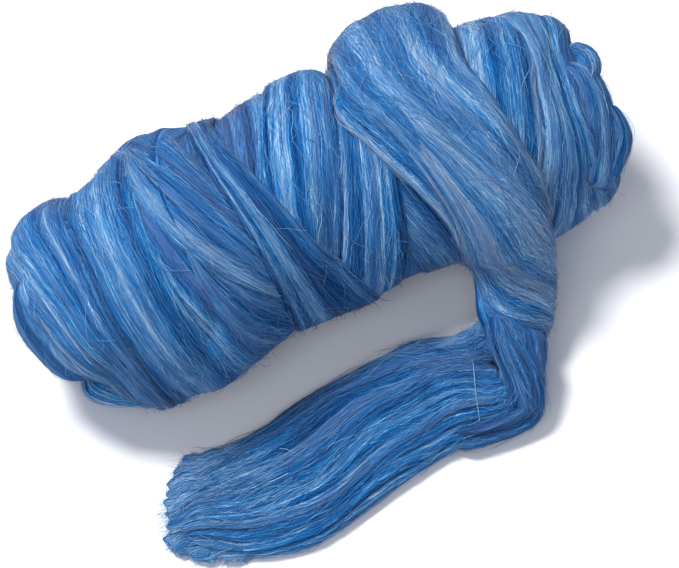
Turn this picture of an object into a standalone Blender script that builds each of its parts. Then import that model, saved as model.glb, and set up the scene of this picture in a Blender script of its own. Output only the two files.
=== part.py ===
"""A wound roll of combed wool roving. Its loose end crosses the roll, drops to the table and turns along it.

The roll lies along X on the surface z = 0, and the loose end lies in front of it, towards -Y.
Sizes in the tables are millimetres and angles are degrees. An angle round the roll is 0 at the top,
90 at the front and -90 at the back.
"""

import math
from collections import namedtuple

import bpy
import numpy as np

MM = 0.001
OBJECT_NAME = "wool_roving_roll"

# The wound body, a soft bar with blunt ends. Each row gives its radius as if the ends were not
# rounded off, how far its middle line lies towards the front, and how high that line lies.
HALF_LENGTH = 125.5
LEFT_BLUNTNESS = 2.3
RIGHT_BLUNTNESS = 4.1
TYPICAL_RADIUS = 47.0
Girth = namedtuple("Girth", "x radius forward height")
GIRTHS = (
    Girth(-127, 60, 8, 48),
    Girth(-100, 58, 12, 48),
    Girth(-75, 55, 14, 48),
    Girth(-45, 50, 7, 48),
    Girth(-18, 43, 2, 45),
    Girth(12, 46, 0, 47),
    Girth(50, 45, 0, 46),
    Girth(90, 50, 3, 47),
    Girth(127, 51, 6, 47),
)
ROLL_RINGS = 70
ROLL_COLUMNS = 50

# Each wrap is a tilted ring between two edge planes. An edge lies at `middle` on the roll's axis and
# sways by `sway` at the body's radius, most towards +X at the angle `at`. Later wraps lie on top.
Edge = namedtuple("Edge", "middle sway at")
Wrap = namedtuple("Wrap", "name left right lift")
WRAPS = (
    Wrap("left end, under", Edge(-130, 40, 60), Edge(-100, 40, 60), 1.4),
    Wrap("left end, over", Edge(-65, 95, 220), Edge(-85, 20, 235), 2.2),
    Wrap("right end, under", Edge(100, 45, 200), Edge(135, 45, 200), 1.6),
    Wrap("right end, over", Edge(100, 30, 20), Edge(130, 45, 20), 1.8),
    Wrap("back of left half", Edge(-70, 25, -60), Edge(-30, 30, -70), 1.6),
    Wrap("left, outer", Edge(-95, 10, 240), Edge(-70, 25, 220), 2.4),
    Wrap("left, inner", Edge(-70, 25, 220), Edge(-40, 35, 215), 1.8),
    Wrap("under the loose end", Edge(25, 10, 150), Edge(70, 5, 150), 0.8),
    Wrap("middle", Edge(-20, 20, -90), Edge(35, 20, -70), 2.6),
    Wrap("right", Edge(65, 10, -90), Edge(105, 10, -70), 2.6),
    Wrap("crossing, lower", Edge(-30, 40, 165), Edge(-10, 30, 150), 3.2),
    Wrap("crossing, upper", Edge(-40, 15, 140), Edge(-5, 25, 140), 4.2),
)
WRAP_CREST = 4

# The tucked-in turn of roving that bulges from the left end, and the small turns on the right end.
Tuck = namedtuple("Tuck", "x angle reach height")
TUCKS = (
    Tuck(-115, 100, 18, 4.5),
    Tuck(-115, -60, 20, 3.5),
    Tuck(122, 40, 12, 3.5),
    Tuck(122, -15, 12, 3.0),
    Tuck(122, 95, 12, 2.5),
)

# The loose end, first where it lies on the roll.
SEAT_GAP = 1.0
OnRoll = namedtuple("OnRoll", "angle left right thickness")
LOOSE_ON_ROLL = (
    OnRoll(-151.2, 35, 62, 2.0),
    OnRoll(-129.6, 33, 72, 8.0),
    OnRoll(-108.0, 31, 78, 13.0),
    OnRoll(-79.2, 30, 79, 15.5),
    OnRoll(-50.4, 27, 77, 15.0),
    OnRoll(-28.8, 22, 74, 13.0),
    OnRoll(-7.2, 17.5, 71, 11.0),
    OnRoll(14.4, 24.5, 73.5, 10.0),
    OnRoll(36.0, 34, 77, 10.5),
    OnRoll(57.6, 43, 81, 11.0),
    OnRoll(79.2, 48, 82.5, 12.0),
)
ANGLE_STEP = 360.0 / ROLL_COLUMNS

# Then where it hangs clear, turns over and lies on the table. `a` is the edge that leaves the roll
# on the left and `b` the one that leaves it on the right. Half a twist brings `a` to the front.
Free = namedtuple("Free", "ax ay az bx by bz thickness")
LOOSE_FREE = (
    Free(50, -50, 44, 82, -58, 44, 12.0),
    Free(48, -60, 38, 81, -64, 34, 13.0),
    Free(45, -70, 35, 78, -70, 25, 15.0),
    Free(46, -80, 32, 73, -76, 14, 17.5),
    Free(49, -90, 30, 66, -80, 7, 18.5),
    Free(53, -98, 25, 58, -83, 4, 18.0),
    Free(56, -104, 16, 52, -80, 3, 16.0),
    Free(54, -108, 9, 48, -74, 4, 13.5),
    Free(46, -110, 6, 44, -67, 5, 12.0),
    Free(36, -110, 4, 36, -62, 5, 10.5),
    Free(22, -108, 4, 22, -58, 5, 10.0),
    Free(6, -110, 4, 6, -60, 5, 10.0),
    Free(-12, -115, 4, -12, -62, 4, 9.5),
    Free(-30, -120, 4, -30, -65, 4, 9.0),
    Free(-46, -124, 3, -46, -70, 4, 8.5),
    Free(-62, -122, 3, -60, -72, 3, 7.5),
    Free(-78, -116, 2, -75, -74, 3, 6.0),
    Free(-90, -108, 2, -87, -80, 2, 4.0),
    Free(-98, -100, 1, -95, -90, 1, 2.0),
)
FREE_STEPS = 4
# Sections over which it grows from resting on its flat underside to being round on both sides.
LIFT_STEPS = 5
TOP_POINTS = 9
UNDER_POINTS = 5
# The low ridges along the loose end: how many, their share of its thickness, and how far they
# wander from one section to the next.
CLUMPS = 3.5
CLUMP_DEPTH = 0.07
CLUMP_DRIFT = 0.35
# How far the tip reaches past the last row.
TIP_REACH = (-1.5, 0.5, 0.0)

# Dyes, as linear colours.
MID_BLUE = (0.07, 0.23, 0.55, 1.0)
CLEAR_BLUE = (0.08, 0.27, 0.62, 1.0)
WOOL_ROUGHNESS = 0.85


def clear_scene():
    for item in list(bpy.data.objects):
        bpy.data.objects.remove(item, do_unlink=True)


def through(x, column):
    """A girth column at x, on a smooth curve through its rows."""
    stops = np.array([girth.x for girth in GIRTHS], float)
    values = np.array([getattr(girth, column) for girth in GIRTHS], float)
    slopes = np.gradient(values, stops)
    x = np.clip(x, stops[0], stops[-1])
    row = np.clip(np.searchsorted(stops, x, side="right") - 1, 0, len(stops) - 2)
    span = stops[row + 1] - stops[row]
    t = (x - stops[row]) / span
    low = (2 * t**3 - 3 * t**2 + 1) * values[row] + (t**3 - 2 * t**2 + t) * span * slopes[row]
    high = (3 * t**2 - 2 * t**3) * values[row + 1] + (t**3 - t**2) * span * slopes[row + 1]
    return low + high


def profile(x):
    """The bare body's radius at x with the ends rounded off."""
    share = np.clip(np.abs(x) / HALF_LENGTH, 0.0, 1.0)
    bluntness = np.where(x < 0, LEFT_BLUNTNESS, RIGHT_BLUNTNESS)
    return through(x, "radius") * (1.0 - share**bluntness) ** (1.0 / bluntness)


def profile_points(count):
    """Points (x, radius) and outward normals, evenly spaced along the profile from pole to pole."""
    turn = np.linspace(0.0, math.pi, 4001)
    bluntness = np.where(turn < math.pi / 2, LEFT_BLUNTNESS, RIGHT_BLUNTNESS)
    x = -HALF_LENGTH * np.sign(np.cos(turn)) * np.abs(np.cos(turn)) ** (2 / bluntness)
    radius = profile(x)
    length = np.concatenate(([0.0], np.cumsum(np.hypot(np.diff(x), np.diff(radius)))))
    stops = np.linspace(0.0, length[-1], count)
    x = np.interp(stops, length, x)
    radius = profile(x)
    slope_x = np.gradient(x, stops)
    slope_r = np.gradient(radius, stops)
    size = np.hypot(slope_x, slope_r)
    return x, radius, -slope_r / size, slope_x / size


def from_edge(edge, x, radius, angle):
    """How far a point lies towards +X from an edge plane of a wrap."""
    sway = edge.sway * radius / TYPICAL_RADIUS
    return x - edge.middle - sway * np.cos(angle - math.radians(edge.at))


def relief(x, radius, angle):
    """How far the wraps and the tucked turns stand above the bare body."""
    height = np.zeros(np.broadcast(x, angle).shape)
    for wrap in WRAPS:
        past_left = from_edge(wrap.left, x, radius, angle)
        past_right = -from_edge(wrap.right, x, radius, angle)
        inside = (past_left > 0) & (past_right > 0)
        across = (past_left - past_right) / np.where(inside, past_left + past_right, 1.0)
        crest = wrap.lift * (1.0 - np.abs(across) ** WRAP_CREST)
        height = np.where(inside, np.maximum(height, crest), height)
    for tuck in TUCKS:
        tuck_radius = profile(np.array(float(tuck.x)))
        tuck_angle = math.radians(tuck.angle)
        along = x - tuck.x
        side = radius * np.sin(angle) - tuck_radius * math.sin(tuck_angle)
        rise = radius * np.cos(angle) - tuck_radius * math.cos(tuck_angle)
        apart = (along**2 + side**2 + rise**2) / tuck.reach**2
        height = height + tuck.height * np.exp(-apart)
    return height


def roll_surface(x, radius, out_x, out_r, angle, lift):
    """The point above the bare body at (x, angle) by lift along its normal, no lower than the table."""
    far = radius + out_r * lift
    along = x + out_x * lift
    across = -through(x, "forward") - far * np.sin(angle)
    high = through(x, "height") + far * np.cos(angle)
    points = np.stack(np.broadcast_arrays(along, across, high), -1)
    points[..., 2] = np.maximum(points[..., 2], 0.0)
    return points


def skin_mesh(name, loops, start, end):
    """A closed mesh through loops of points, drawn together to one point at each end."""
    around = len(loops[0])
    points = [start] + [point for loop in loops for point in loop] + [end]
    last = len(points) - 1
    faces = []
    for place in range(around):
        beside = (place + 1) % around
        faces.append((0, 1 + beside, 1 + place))
        for row in range(len(loops) - 1):
            low = 1 + row * around
            high = low + around
            faces.append((low + place, low + beside, high + beside, high + place))
        final = 1 + (len(loops) - 1) * around
        faces.append((last, final + place, final + beside))
    mesh = bpy.data.meshes.new(name)
    mesh.from_pydata([tuple(float(value) * MM for value in point) for point in points], [], faces)
    mesh.update()
    mesh.shade_smooth()
    return mesh


def wool(name, colour):
    material = bpy.data.materials.new(name)
    material.use_nodes = True
    shader = material.node_tree.nodes["Principled BSDF"]
    shader.inputs["Base Color"].default_value = colour
    shader.inputs["Roughness"].default_value = WOOL_ROUGHNESS
    shader.inputs["Metallic"].default_value = 0.0
    return material


def add_piece(name, mesh, material, collection):
    piece = bpy.data.objects.new(name, mesh)
    mesh.materials.append(material)
    collection.objects.link(piece)
    return piece


def wound_roll_mesh():
    x, radius, out_x, out_r = profile_points(ROLL_RINGS + 2)
    angle = np.radians(180.0 + ANGLE_STEP * np.arange(ROLL_COLUMNS))
    loops = []
    for ring in range(1, ROLL_RINGS + 1):
        lift = relief(x[ring], radius[ring], angle)
        loops.append(roll_surface(x[ring], radius[ring], out_x[ring], out_r[ring], angle, lift))
    poles = []
    for x_end, way in ((x[0], -1.0), (x[-1], 1.0)):
        lift = relief(x_end, np.array(0.0), np.array(0.0))
        poles.append(roll_surface(x_end, np.array(0.0), way, 0.0, np.array(0.0), lift))
    return skin_mesh("wound_roll", loops, poles[0], poles[1])


def lens(across, drift):
    """How thick the roving is at a place across it, from -1 to 1, as a share of its full thickness."""
    ridge = CLUMP_DEPTH * np.cos(math.pi * CLUMPS * across + drift)
    return np.sqrt(np.maximum(1.0 - across**2, 0.0)) * (1.0 - CLUMP_DEPTH + ridge)


def spline(rows, steps):
    """Rows of numbers with `steps` spans between each two, through a Catmull-Rom curve."""
    rows = np.array(rows, float)
    ends = np.vstack((2 * rows[0] - rows[1], rows, 2 * rows[-1] - rows[-2]))
    out = []
    for index in range(1, len(ends) - 2):
        before, here, there, after = ends[index - 1 : index + 3]
        for step in range(steps):
            t = step / steps
            out.append(
                0.5
                * (
                    2 * here
                    + (there - before) * t
                    + (2 * before - 5 * here + 4 * there - after) * t**2
                    + (3 * here - before - 3 * there + after) * t**3
                )
            )
    out.append(rows[-1])
    return np.array(out)


def section_places():
    """Places across the roving for a section's top points and its under points, edge to edge."""
    top = np.cos(np.linspace(0.0, math.pi, TOP_POINTS))
    under = -np.cos(np.linspace(0.0, math.pi, UNDER_POINTS + 2))[1:-1]
    return top, under


def loops_on_roll():
    """The loose end's sections where it lies on the roll, one at each column of the roll's own faces."""
    top, under = section_places()
    rows = np.array(LOOSE_ON_ROLL, float)
    count = int(round((rows[-1, 0] - rows[0, 0]) / ANGLE_STEP)) + 1
    loops = []
    for step in range(count):
        degrees = rows[0, 0] + step * ANGLE_STEP
        left, right, thickness = (np.interp(degrees, rows[:, 0], rows[:, n]) for n in (1, 2, 3))
        angle = math.radians(degrees)
        places = np.concatenate((top, under))
        x = (left + right) / 2 + places * (right - left) / 2
        radius = profile(x)
        seat = relief(x, radius, angle) + SEAT_GAP
        rise = np.concatenate((thickness * lens(top, CLUMP_DRIFT * step), np.zeros(len(under))))
        slope = np.gradient(profile(np.linspace(-1, 1, 3) + x[:, None]), axis=1)[:, 1]
        size = np.hypot(1.0, slope)
        loops.append(roll_surface(x, radius, -slope / size, 1 / size, angle, seat + rise))
    return loops


def free_sections():
    """The free rows as smooth runs of edge points and thicknesses."""
    rows = spline(LOOSE_FREE, FREE_STEPS)
    return rows[:, 0:3], rows[:, 3:6], rows[:, 6]


def loops_free():
    """The loose end's sections where it hangs clear and where it lies on the table."""
    top, under = section_places()
    edge_a, edge_b, thickness = free_sections()
    middle = (edge_a + edge_b) / 2
    way = np.gradient(middle, axis=0)
    loops = []
    for index in range(len(middle)):
        half = (edge_b[index] - edge_a[index]) / 2
        face = np.cross(way[index], half)
        face = face / np.linalg.norm(face)
        loop = []
        above = max(0.5, 1.0 - 0.5 * index / LIFT_STEPS) * thickness[index]
        below = thickness[index] - above
        for place in top:
            loop.append(middle[index] + place * half + above * lens(place, CLUMP_DRIFT * index) * face)
        for place in under:
            loop.append(middle[index] + place * half - below * lens(place, 0.0) * face)
        loop = np.array(loop)
        loop[:, 2] = np.maximum(loop[:, 2], 0.0)
        loops.append(loop)
    return loops


def loose_end_mesh():
    loops = loops_on_roll() + loops_free()
    start = np.mean(loops[0], axis=0)
    end = np.mean(loops[-1], axis=0) + TIP_REACH
    return skin_mesh("loose_end", loops, start, end)


def build():
    clear_scene()
    collection = bpy.data.collections.new(OBJECT_NAME)
    bpy.context.scene.collection.children.link(collection)
    add_piece("wound_roll", wound_roll_mesh(), wool("wound wool", MID_BLUE), collection)
    add_piece("loose_end", loose_end_mesh(), wool("loose wool", CLEAR_BLUE), collection)


build()
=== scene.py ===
"""A roll of combed wool roving in blended blues, with its loose end over the roll and along the floor.

Lengths in the tables are millimetres and angles are degrees. An angle round the roll is 0 at the top,
90 at the front and -90 at the back. Shades run from 0, the deepest blue, to 1, nearly white.
"""

import math
from collections import namedtuple

import bpy
import numpy as np
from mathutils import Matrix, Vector


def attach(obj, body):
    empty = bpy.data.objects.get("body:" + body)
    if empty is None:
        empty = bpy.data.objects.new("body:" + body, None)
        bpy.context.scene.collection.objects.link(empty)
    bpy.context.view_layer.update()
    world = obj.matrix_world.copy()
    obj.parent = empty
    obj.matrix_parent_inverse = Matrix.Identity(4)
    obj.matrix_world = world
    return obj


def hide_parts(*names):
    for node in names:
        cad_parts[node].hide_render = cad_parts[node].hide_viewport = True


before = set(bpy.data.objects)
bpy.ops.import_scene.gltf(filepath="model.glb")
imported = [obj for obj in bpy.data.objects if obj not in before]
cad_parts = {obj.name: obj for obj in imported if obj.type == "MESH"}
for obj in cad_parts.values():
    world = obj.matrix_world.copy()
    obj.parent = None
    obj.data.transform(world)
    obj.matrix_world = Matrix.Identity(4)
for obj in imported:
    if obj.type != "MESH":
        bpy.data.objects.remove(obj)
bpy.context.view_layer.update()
MM = 0.001
BODY = "root"
RANDOM_SEED = 11

# ---------------------------------------------------------------------------------- camera and light

CAMERA_AIM = (0.1, -35.0, 32.5)
CAMERA_AZIMUTH = -22.5
CAMERA_ELEVATION = 62.0
CAMERA_DISTANCE = 1100.0
CAMERA_LENS = 145.8
FLOOR_SIZE = 6000.0

Lamp = namedtuple("Lamp", "name azimuth elevation distance size watts colour")
LAMPS = (
    Lamp("key", -135, 68, 1400, 420, 26.0, (1.0, 0.99, 0.97)),
    Lamp("front", -35, 55, 1500, 900, 6.0, (1.0, 0.99, 0.98)),
)
WORLD_COLOUR = (0.85, 0.90, 1.0)
WORLD_STRENGTH = 0.37


def towards(azimuth, elevation):
    """A unit vector from the middle of the scene towards an azimuth and elevation."""
    a = math.radians(azimuth)
    e = math.radians(elevation)
    return Vector((math.sin(a) * math.cos(e), -math.cos(a) * math.cos(e), math.sin(e)))


def look_from(item, place, aim):
    direction = Vector(aim) - Vector(place)
    item.rotation_euler = direction.to_track_quat("-Z", "Y").to_euler()
    item.location = place


def add_camera():
    data = bpy.data.cameras.new("camera")
    data.lens = CAMERA_LENS
    data.sensor_width = 36.0
    data.clip_start = 0.05
    camera = bpy.data.objects.new("camera", data)
    bpy.context.scene.collection.objects.link(camera)
    aim = Vector(CAMERA_AIM) * MM
    look_from(camera, aim + towards(CAMERA_AZIMUTH, CAMERA_ELEVATION) * CAMERA_DISTANCE * MM, aim)
    bpy.context.scene.camera = camera


def add_lamps():
    aim = Vector((0.0, -0.02, 0.03))
    for lamp in LAMPS:
        data = bpy.data.lights.new(lamp.name, "AREA")
        data.shape = "DISK"
        data.size = lamp.size * MM
        data.energy = lamp.watts
        data.color = lamp.colour
        item = bpy.data.objects.new(lamp.name, data)
        bpy.context.scene.collection.objects.link(item)
        look_from(item, aim + towards(lamp.azimuth, lamp.elevation) * lamp.distance * MM, aim)
    world = bpy.data.worlds.new("studio")
    world.use_nodes = True
    background = world.node_tree.nodes["Background"]
    background.inputs["Color"].default_value = (*WORLD_COLOUR, 1.0)
    background.inputs["Strength"].default_value = WORLD_STRENGTH
    bpy.context.scene.world = world
    bpy.context.scene.view_settings.view_transform = "Standard"


# -------------------------------------------------------------------------------------- the materials

# Dyes by shade, as screen colours from 0 to 255.
DYES = (
    (0.00, (0, 26, 60)),
    (0.22, (0, 54, 110)),
    (0.42, (0, 80, 142)),
    (0.58, (22, 104, 164)),
    (0.76, (88, 142, 188)),
    (1.00, (168, 192, 212)),
)
LAVENDER = (66, 86, 134)
SHEEN_TINT = (0.62, 0.84, 1.0, 1.0)
BUMP_STRENGTH = 0.55


def linear(colour):
    """A screen colour from 0 to 255 as a linear colour."""
    out = []
    for value in colour:
        value = value / 255.0
        out.append(value / 12.92 if value <= 0.04045 else ((value + 0.055) / 1.055) ** 2.4)
    return (*out, 1.0)


class Nodes:
    """Short calls for making and joining shader nodes."""

    def __init__(self, tree):
        self.tree = tree

    def add(self, kind, **settings):
        node = self.tree.nodes.new(kind)
        for key, value in settings.items():
            setattr(node, key, value)
        return node

    def join(self, source, target):
        self.tree.links.new(source, target)

    def fill(self, socket, value):
        """Sets a socket to a number, or joins an output to it."""
        if isinstance(value, (int, float)):
            socket.default_value = value
        else:
            self.join(value, socket)

    def math(self, operation, first, second):
        node = self.add("ShaderNodeMath", operation=operation)
        self.fill(node.inputs[0], first)
        self.fill(node.inputs[1], second)
        return node.outputs[0]

    def times(self, first, second):
        return self.math("MULTIPLY", first, second)

    def plus(self, first, second):
        return self.math("ADD", first, second)

    def centred(self, value):
        """A value from 0 to 1 as one from -0.5 to 0.5."""
        return self.math("SUBTRACT", value, 0.5)

    def vector(self, x, y, z):
        node = self.add("ShaderNodeCombineXYZ")
        for socket, value in zip(node.inputs, (x, y, z)):
            self.fill(socket, value)
        return node.outputs[0]

    def noise(self, vector, detail, roughness=0.5):
        node = self.add("ShaderNodeTexNoise", noise_dimensions="3D")
        node.inputs["Scale"].default_value = 1.0
        node.inputs["Detail"].default_value = detail
        node.inputs["Roughness"].default_value = roughness
        self.join(vector, node.inputs["Vector"])
        return node.outputs["Fac"]

    def spread(self, value, low, high):
        """value from low to high as 0 to 1."""
        node = self.add("ShaderNodeMapRange", clamp=True)
        self.join(value, node.inputs["Value"])
        node.inputs["From Min"].default_value = low
        node.inputs["From Max"].default_value = high
        return node.outputs["Result"]


def new_group(name, inputs, outputs):
    """An empty shader group with named float inputs and named outputs of the kinds given."""
    group = bpy.data.node_groups.new(name, "ShaderNodeTree")
    for label, value in inputs:
        socket = group.interface.new_socket(label, in_out="INPUT", socket_type="NodeSocketFloat")
        socket.default_value = value
    for label, kind in outputs:
        group.interface.new_socket(label, in_out="OUTPUT", socket_type=kind)
    nodes = Nodes(group)
    return group, nodes, nodes.add("NodeGroupInput").outputs, nodes.add("NodeGroupOutput").inputs


def streak_group():
    """Fine streaks along combed fibres, and the few pale hairs that lie across them."""
    group, n, given, out = new_group(
        "combed streaks",
        (("Across", 0.0), ("Along", 0.0), ("Seed", 0.0), ("Wander", 0.5), ("Hairs", 0.5)),
        (("Streak", "NodeSocketFloat"), ("Fine", "NodeSocketFloat"), ("Hair", "NodeSocketFloat")),
    )
    across = n.times(given["Across"], 1000.0)
    along = n.times(given["Along"], 1000.0)
    slow = n.vector(n.times(across, 0.20), n.times(along, 0.05), given["Seed"])
    drift = n.centred(n.noise(slow, 1.0))
    crimp = n.vector(n.times(across, 0.8), n.times(along, 0.4), given["Seed"])
    waver = n.times(n.centred(n.noise(crimp, 2.0)), 0.9)
    shift = n.times(n.plus(n.times(drift, 5.0), waver), given["Wander"])
    place = n.plus(across, shift)
    broad = n.vector(n.times(place, 0.62), n.times(along, 0.009), given["Seed"])
    thin = n.vector(n.times(place, 2.4), n.times(along, 0.018), given["Seed"])
    n.join(n.noise(broad, 2.0, 0.6), out["Streak"])
    n.join(n.noise(thin, 2.0, 0.7), out["Fine"])
    hairs = None
    for slant, offset in ((0.10, 3.1), (-0.12, 7.7), (0.36, 11.3), (-0.5, 15.9)):
        sideways = n.times(n.plus(n.times(along, slant), place), 2.4)
        seed = n.plus(given["Seed"], offset)
        hair = n.noise(n.vector(sideways, n.times(along, 0.06), seed), 1.0, 0.6)
        hair = n.spread(hair, 0.60, 0.67)
        hairs = hair if hairs is None else n.math("MAXIMUM", hairs, hair)
    n.join(n.times(hairs, given["Hairs"]), out["Hair"])
    return group


def dye_group():
    """The blended dyes: a shade through the row of blues, with some fibres lavender grey."""
    group, n, given, out = new_group(
        "blended dyes",
        (("Shade", 0.5), ("Lavender", 0.0), ("Streak", 0.5), ("Fine", 0.5), ("Hair", 0.0), ("Contrast", 1.0)),
        (("Colour", "NodeSocketColor"), ("Height", "NodeSocketFloat")),
    )
    coarse = n.times(n.centred(given["Streak"]), 0.6)
    thin = n.times(n.centred(given["Fine"]), 1.6)
    both = n.times(n.plus(coarse, thin), given["Contrast"])
    shade = n.plus(n.plus(given["Shade"], both), n.times(given["Hair"], 0.34))
    ramp = n.add("ShaderNodeValToRGB")
    stops = ramp.color_ramp.elements
    while len(stops) < len(DYES):
        stops.new(0.5)
    for stop, (place, colour) in zip(stops, DYES):
        stop.position = place
        stop.color = linear(colour)
    n.join(shade, ramp.inputs[0])
    grey = n.spread(given["Streak"], 0.36, 0.62)
    amount = n.times(given["Lavender"], grey)
    mix = n.add("ShaderNodeMix", data_type="RGBA")
    mix.inputs["B"].default_value = linear(LAVENDER)
    n.join(amount, mix.inputs["Factor"])
    n.join(ramp.outputs["Color"], mix.inputs["A"])
    n.join(mix.outputs["Result"], out["Colour"])
    height = n.plus(n.times(given["Streak"], 0.55), n.times(given["Fine"], 0.45))
    n.join(n.plus(height, n.times(given["Hair"], 0.35)), out["Height"])
    return group


def new_material(name, roughness, gloss):
    """A material, short calls for its nodes, and its shader."""
    material = bpy.data.materials.new(name)
    material.use_nodes = True
    shader = material.node_tree.nodes["Principled BSDF"]
    shader.inputs["Roughness"].default_value = roughness
    shader.inputs["Specular IOR Level"].default_value = gloss
    return material, Nodes(material.node_tree), shader


def blended_dye(n, groups, shader, contrast):
    """Colours a shader from the piece's own shade and lavender, and returns the blend and the seed."""
    dye = n.add("ShaderNodeAttribute", attribute_name="dye")
    dyes = n.add("ShaderNodeSeparateXYZ")
    n.join(dye.outputs["Vector"], dyes.inputs[0])
    blend = n.add("ShaderNodeGroup", node_tree=groups["dyes"])
    n.join(dyes.outputs[0], blend.inputs["Shade"])
    n.join(dyes.outputs[1], blend.inputs["Lavender"])
    blend.inputs["Contrast"].default_value = contrast
    n.join(blend.outputs["Colour"], shader.inputs["Base Color"])
    return blend, dyes.outputs[2]


def combed_wool(name, groups, contrast, wander, hairs, relief):
    """Combed wool whose dye, seed and fibre directions come from the piece's own mesh."""
    material, n, shader = new_material(name, 0.78, 0.08)
    shader.inputs["Sheen Weight"].default_value = 0.05
    shader.inputs["Sheen Roughness"].default_value = 0.5
    shader.inputs["Sheen Tint"].default_value = SHEEN_TINT
    blend, seed = blended_dye(n, groups, shader, contrast)
    lay = n.add("ShaderNodeUVMap", uv_map="Lay")
    parts = n.add("ShaderNodeSeparateXYZ")
    n.join(lay.outputs[0], parts.inputs[0])
    streaks = n.add("ShaderNodeGroup", node_tree=groups["streaks"])
    n.join(parts.outputs[0], streaks.inputs["Across"])
    n.join(parts.outputs[1], streaks.inputs["Along"])
    n.join(seed, streaks.inputs["Seed"])
    streaks.inputs["Wander"].default_value = wander
    streaks.inputs["Hairs"].default_value = hairs
    for label in ("Streak", "Fine", "Hair"):
        n.join(streaks.outputs[label], blend.inputs[label])
    bump = n.add("ShaderNodeBump")
    bump.inputs["Strength"].default_value = BUMP_STRENGTH
    bump.inputs["Distance"].default_value = relief * MM
    n.join(blend.outputs["Height"], bump.inputs["Height"])
    n.join(bump.outputs["Normal"], shader.inputs["Normal"])
    return material


def stray_wool(name, groups):
    """Single loose fibres, each with a shade of its own; the hairs' paler shades are partly a painted
    highlight.
    """
    material, n, shader = new_material(name, 0.6, 0.3)
    shader.inputs["Sheen Weight"].default_value = 0.2
    blended_dye(n, groups, shader, 0.0)
    return material


def floor_paper(name):
    material, n, shader = new_material(name, 0.9, 0.1)
    place = n.add("ShaderNodeTexCoord")
    grain = n.noise(place.outputs["Object"], 3.0)
    ramp = n.add("ShaderNodeValToRGB")
    ramp.color_ramp.elements[0].color = (0.86, 0.87, 0.90, 1.0)
    ramp.color_ramp.elements[1].color = (0.88, 0.89, 0.92, 1.0)
    n.join(grain, ramp.inputs[0])
    n.join(ramp.outputs["Color"], shader.inputs["Base Color"])
    return material


# -------------------------------------------------------------------------------------- shared sums

TINY = 1e-9
FLOOR_GAP = 0.02
FLOOR_STEP = 0.004


def eased(value):
    value = np.clip(value, 0.0, 1.0)
    return value * value * (3 - 2 * value)


def unit(vectors):
    """Vectors brought to a length of one."""
    return vectors / np.maximum(np.linalg.norm(vectors, axis=-1, keepdims=True), TINY)


def keep_off_floor(points, gap):
    """Raises points that lie lower than a gap over the floor."""
    points[..., 2] = np.maximum(points[..., 2], gap)


def run_length(points):
    """How far along a row of points each of them lies."""
    steps = np.linalg.norm(np.diff(points, axis=0), axis=1)
    return np.concatenate(([0.0], np.cumsum(steps)))


def between_cells(field, row, column, closed):
    """A field's value, or point, between its rows and columns. A closed one runs on across them."""
    rows, columns = field.shape[:2]
    r0 = np.clip(row.astype(int), 0, rows - 2)
    c0 = column.astype(int) % columns if closed else np.clip(column.astype(int), 0, columns - 2)
    c1 = (c0 + 1) % columns
    fr = row - r0
    fc = column - (np.floor(column) if closed else c0)
    if field.ndim == 3:
        fr = fr[..., None]
        fc = fc[..., None]
    top = field[r0, c0] * (1 - fc) + field[r0, c1] * fc
    low = field[r0 + 1, c0] * (1 - fc) + field[r0 + 1, c1] * fc
    return top * (1 - fr) + low * fr


# ------------------------------------------------------------------------------ the wound body's form

HALF_LENGTH = 125.5
LEFT_BLUNTNESS = 2.3
RIGHT_BLUNTNESS = 4.1
TYPICAL_RADIUS = 47.0
Girth = namedtuple("Girth", "x radius forward height")
GIRTHS = (
    Girth(-127, 62, 8, 48),
    Girth(-100, 60, 10, 48),
    Girth(-75, 55, 13, 48),
    Girth(-45, 50, 7, 48),
    Girth(-18, 44, 1, 46),
    Girth(12, 47, 2, 46),
    Girth(50, 46, 3, 46),
    Girth(90, 50, 3, 47),
    Girth(127, 51, 6, 47),
)
CORE_DEPTH = 4.5


def through(x, column):
    """A girth column at x, on a smooth curve through its rows."""
    stops = np.array([girth.x for girth in GIRTHS], float)
    values = np.array([getattr(girth, column) for girth in GIRTHS], float)
    slopes = np.gradient(values, stops)
    x = np.clip(x, stops[0], stops[-1])
    row = np.clip(np.searchsorted(stops, x, side="right") - 1, 0, len(stops) - 2)
    span = stops[row + 1] - stops[row]
    t = (x - stops[row]) / span
    low = (2 * t**3 - 3 * t**2 + 1) * values[row] + (t**3 - 2 * t**2 + t) * span * slopes[row]
    high = (3 * t**2 - 2 * t**3) * values[row + 1] + (t**3 - t**2) * span * slopes[row + 1]
    return low + high


def bluntness(x):
    return np.where(x < 0, LEFT_BLUNTNESS, RIGHT_BLUNTNESS)


def outline_at(turn):
    """The bare body's outline, as places along it and radii, for turns from its left end, 0, to pi."""
    power = np.where(turn < math.pi / 2, LEFT_BLUNTNESS, RIGHT_BLUNTNESS)
    cosine = np.cos(turn)
    x = -HALF_LENGTH * np.sign(cosine) * np.abs(cosine) ** (2 / power)
    return x, through(x, "radius") * np.sin(turn) ** (2 / power)


def fullness(x, radius):
    """Under 1 inside the body, 1 on its surface and over 1 outside."""
    power = bluntness(x)
    return (np.abs(x) / HALF_LENGTH) ** power + (radius / through(x, "radius")) ** power


def reach_surface(middle, lean, angle):
    """How far out from the axis a tilted plane meets the body, at each angle round it."""
    low = np.zeros(np.broadcast(middle, lean, angle).shape)
    high = low + 160.0
    for _ in range(34):
        half = (low + high) / 2
        outside = fullness(middle + lean * half, half) > 1.0
        high = np.where(outside, half, high)
        low = np.where(outside, low, half)
    return (low + high) / 2


def outward(x, radius):
    """The body's outward direction, as its parts along the axis and away from it."""
    step = 0.05
    along = fullness(x + step, radius) - fullness(x - step, radius)
    away = fullness(x, radius + step) - fullness(x, np.maximum(radius - step, 0.0))
    size = np.hypot(along, away)
    return along / size, away / size


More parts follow.
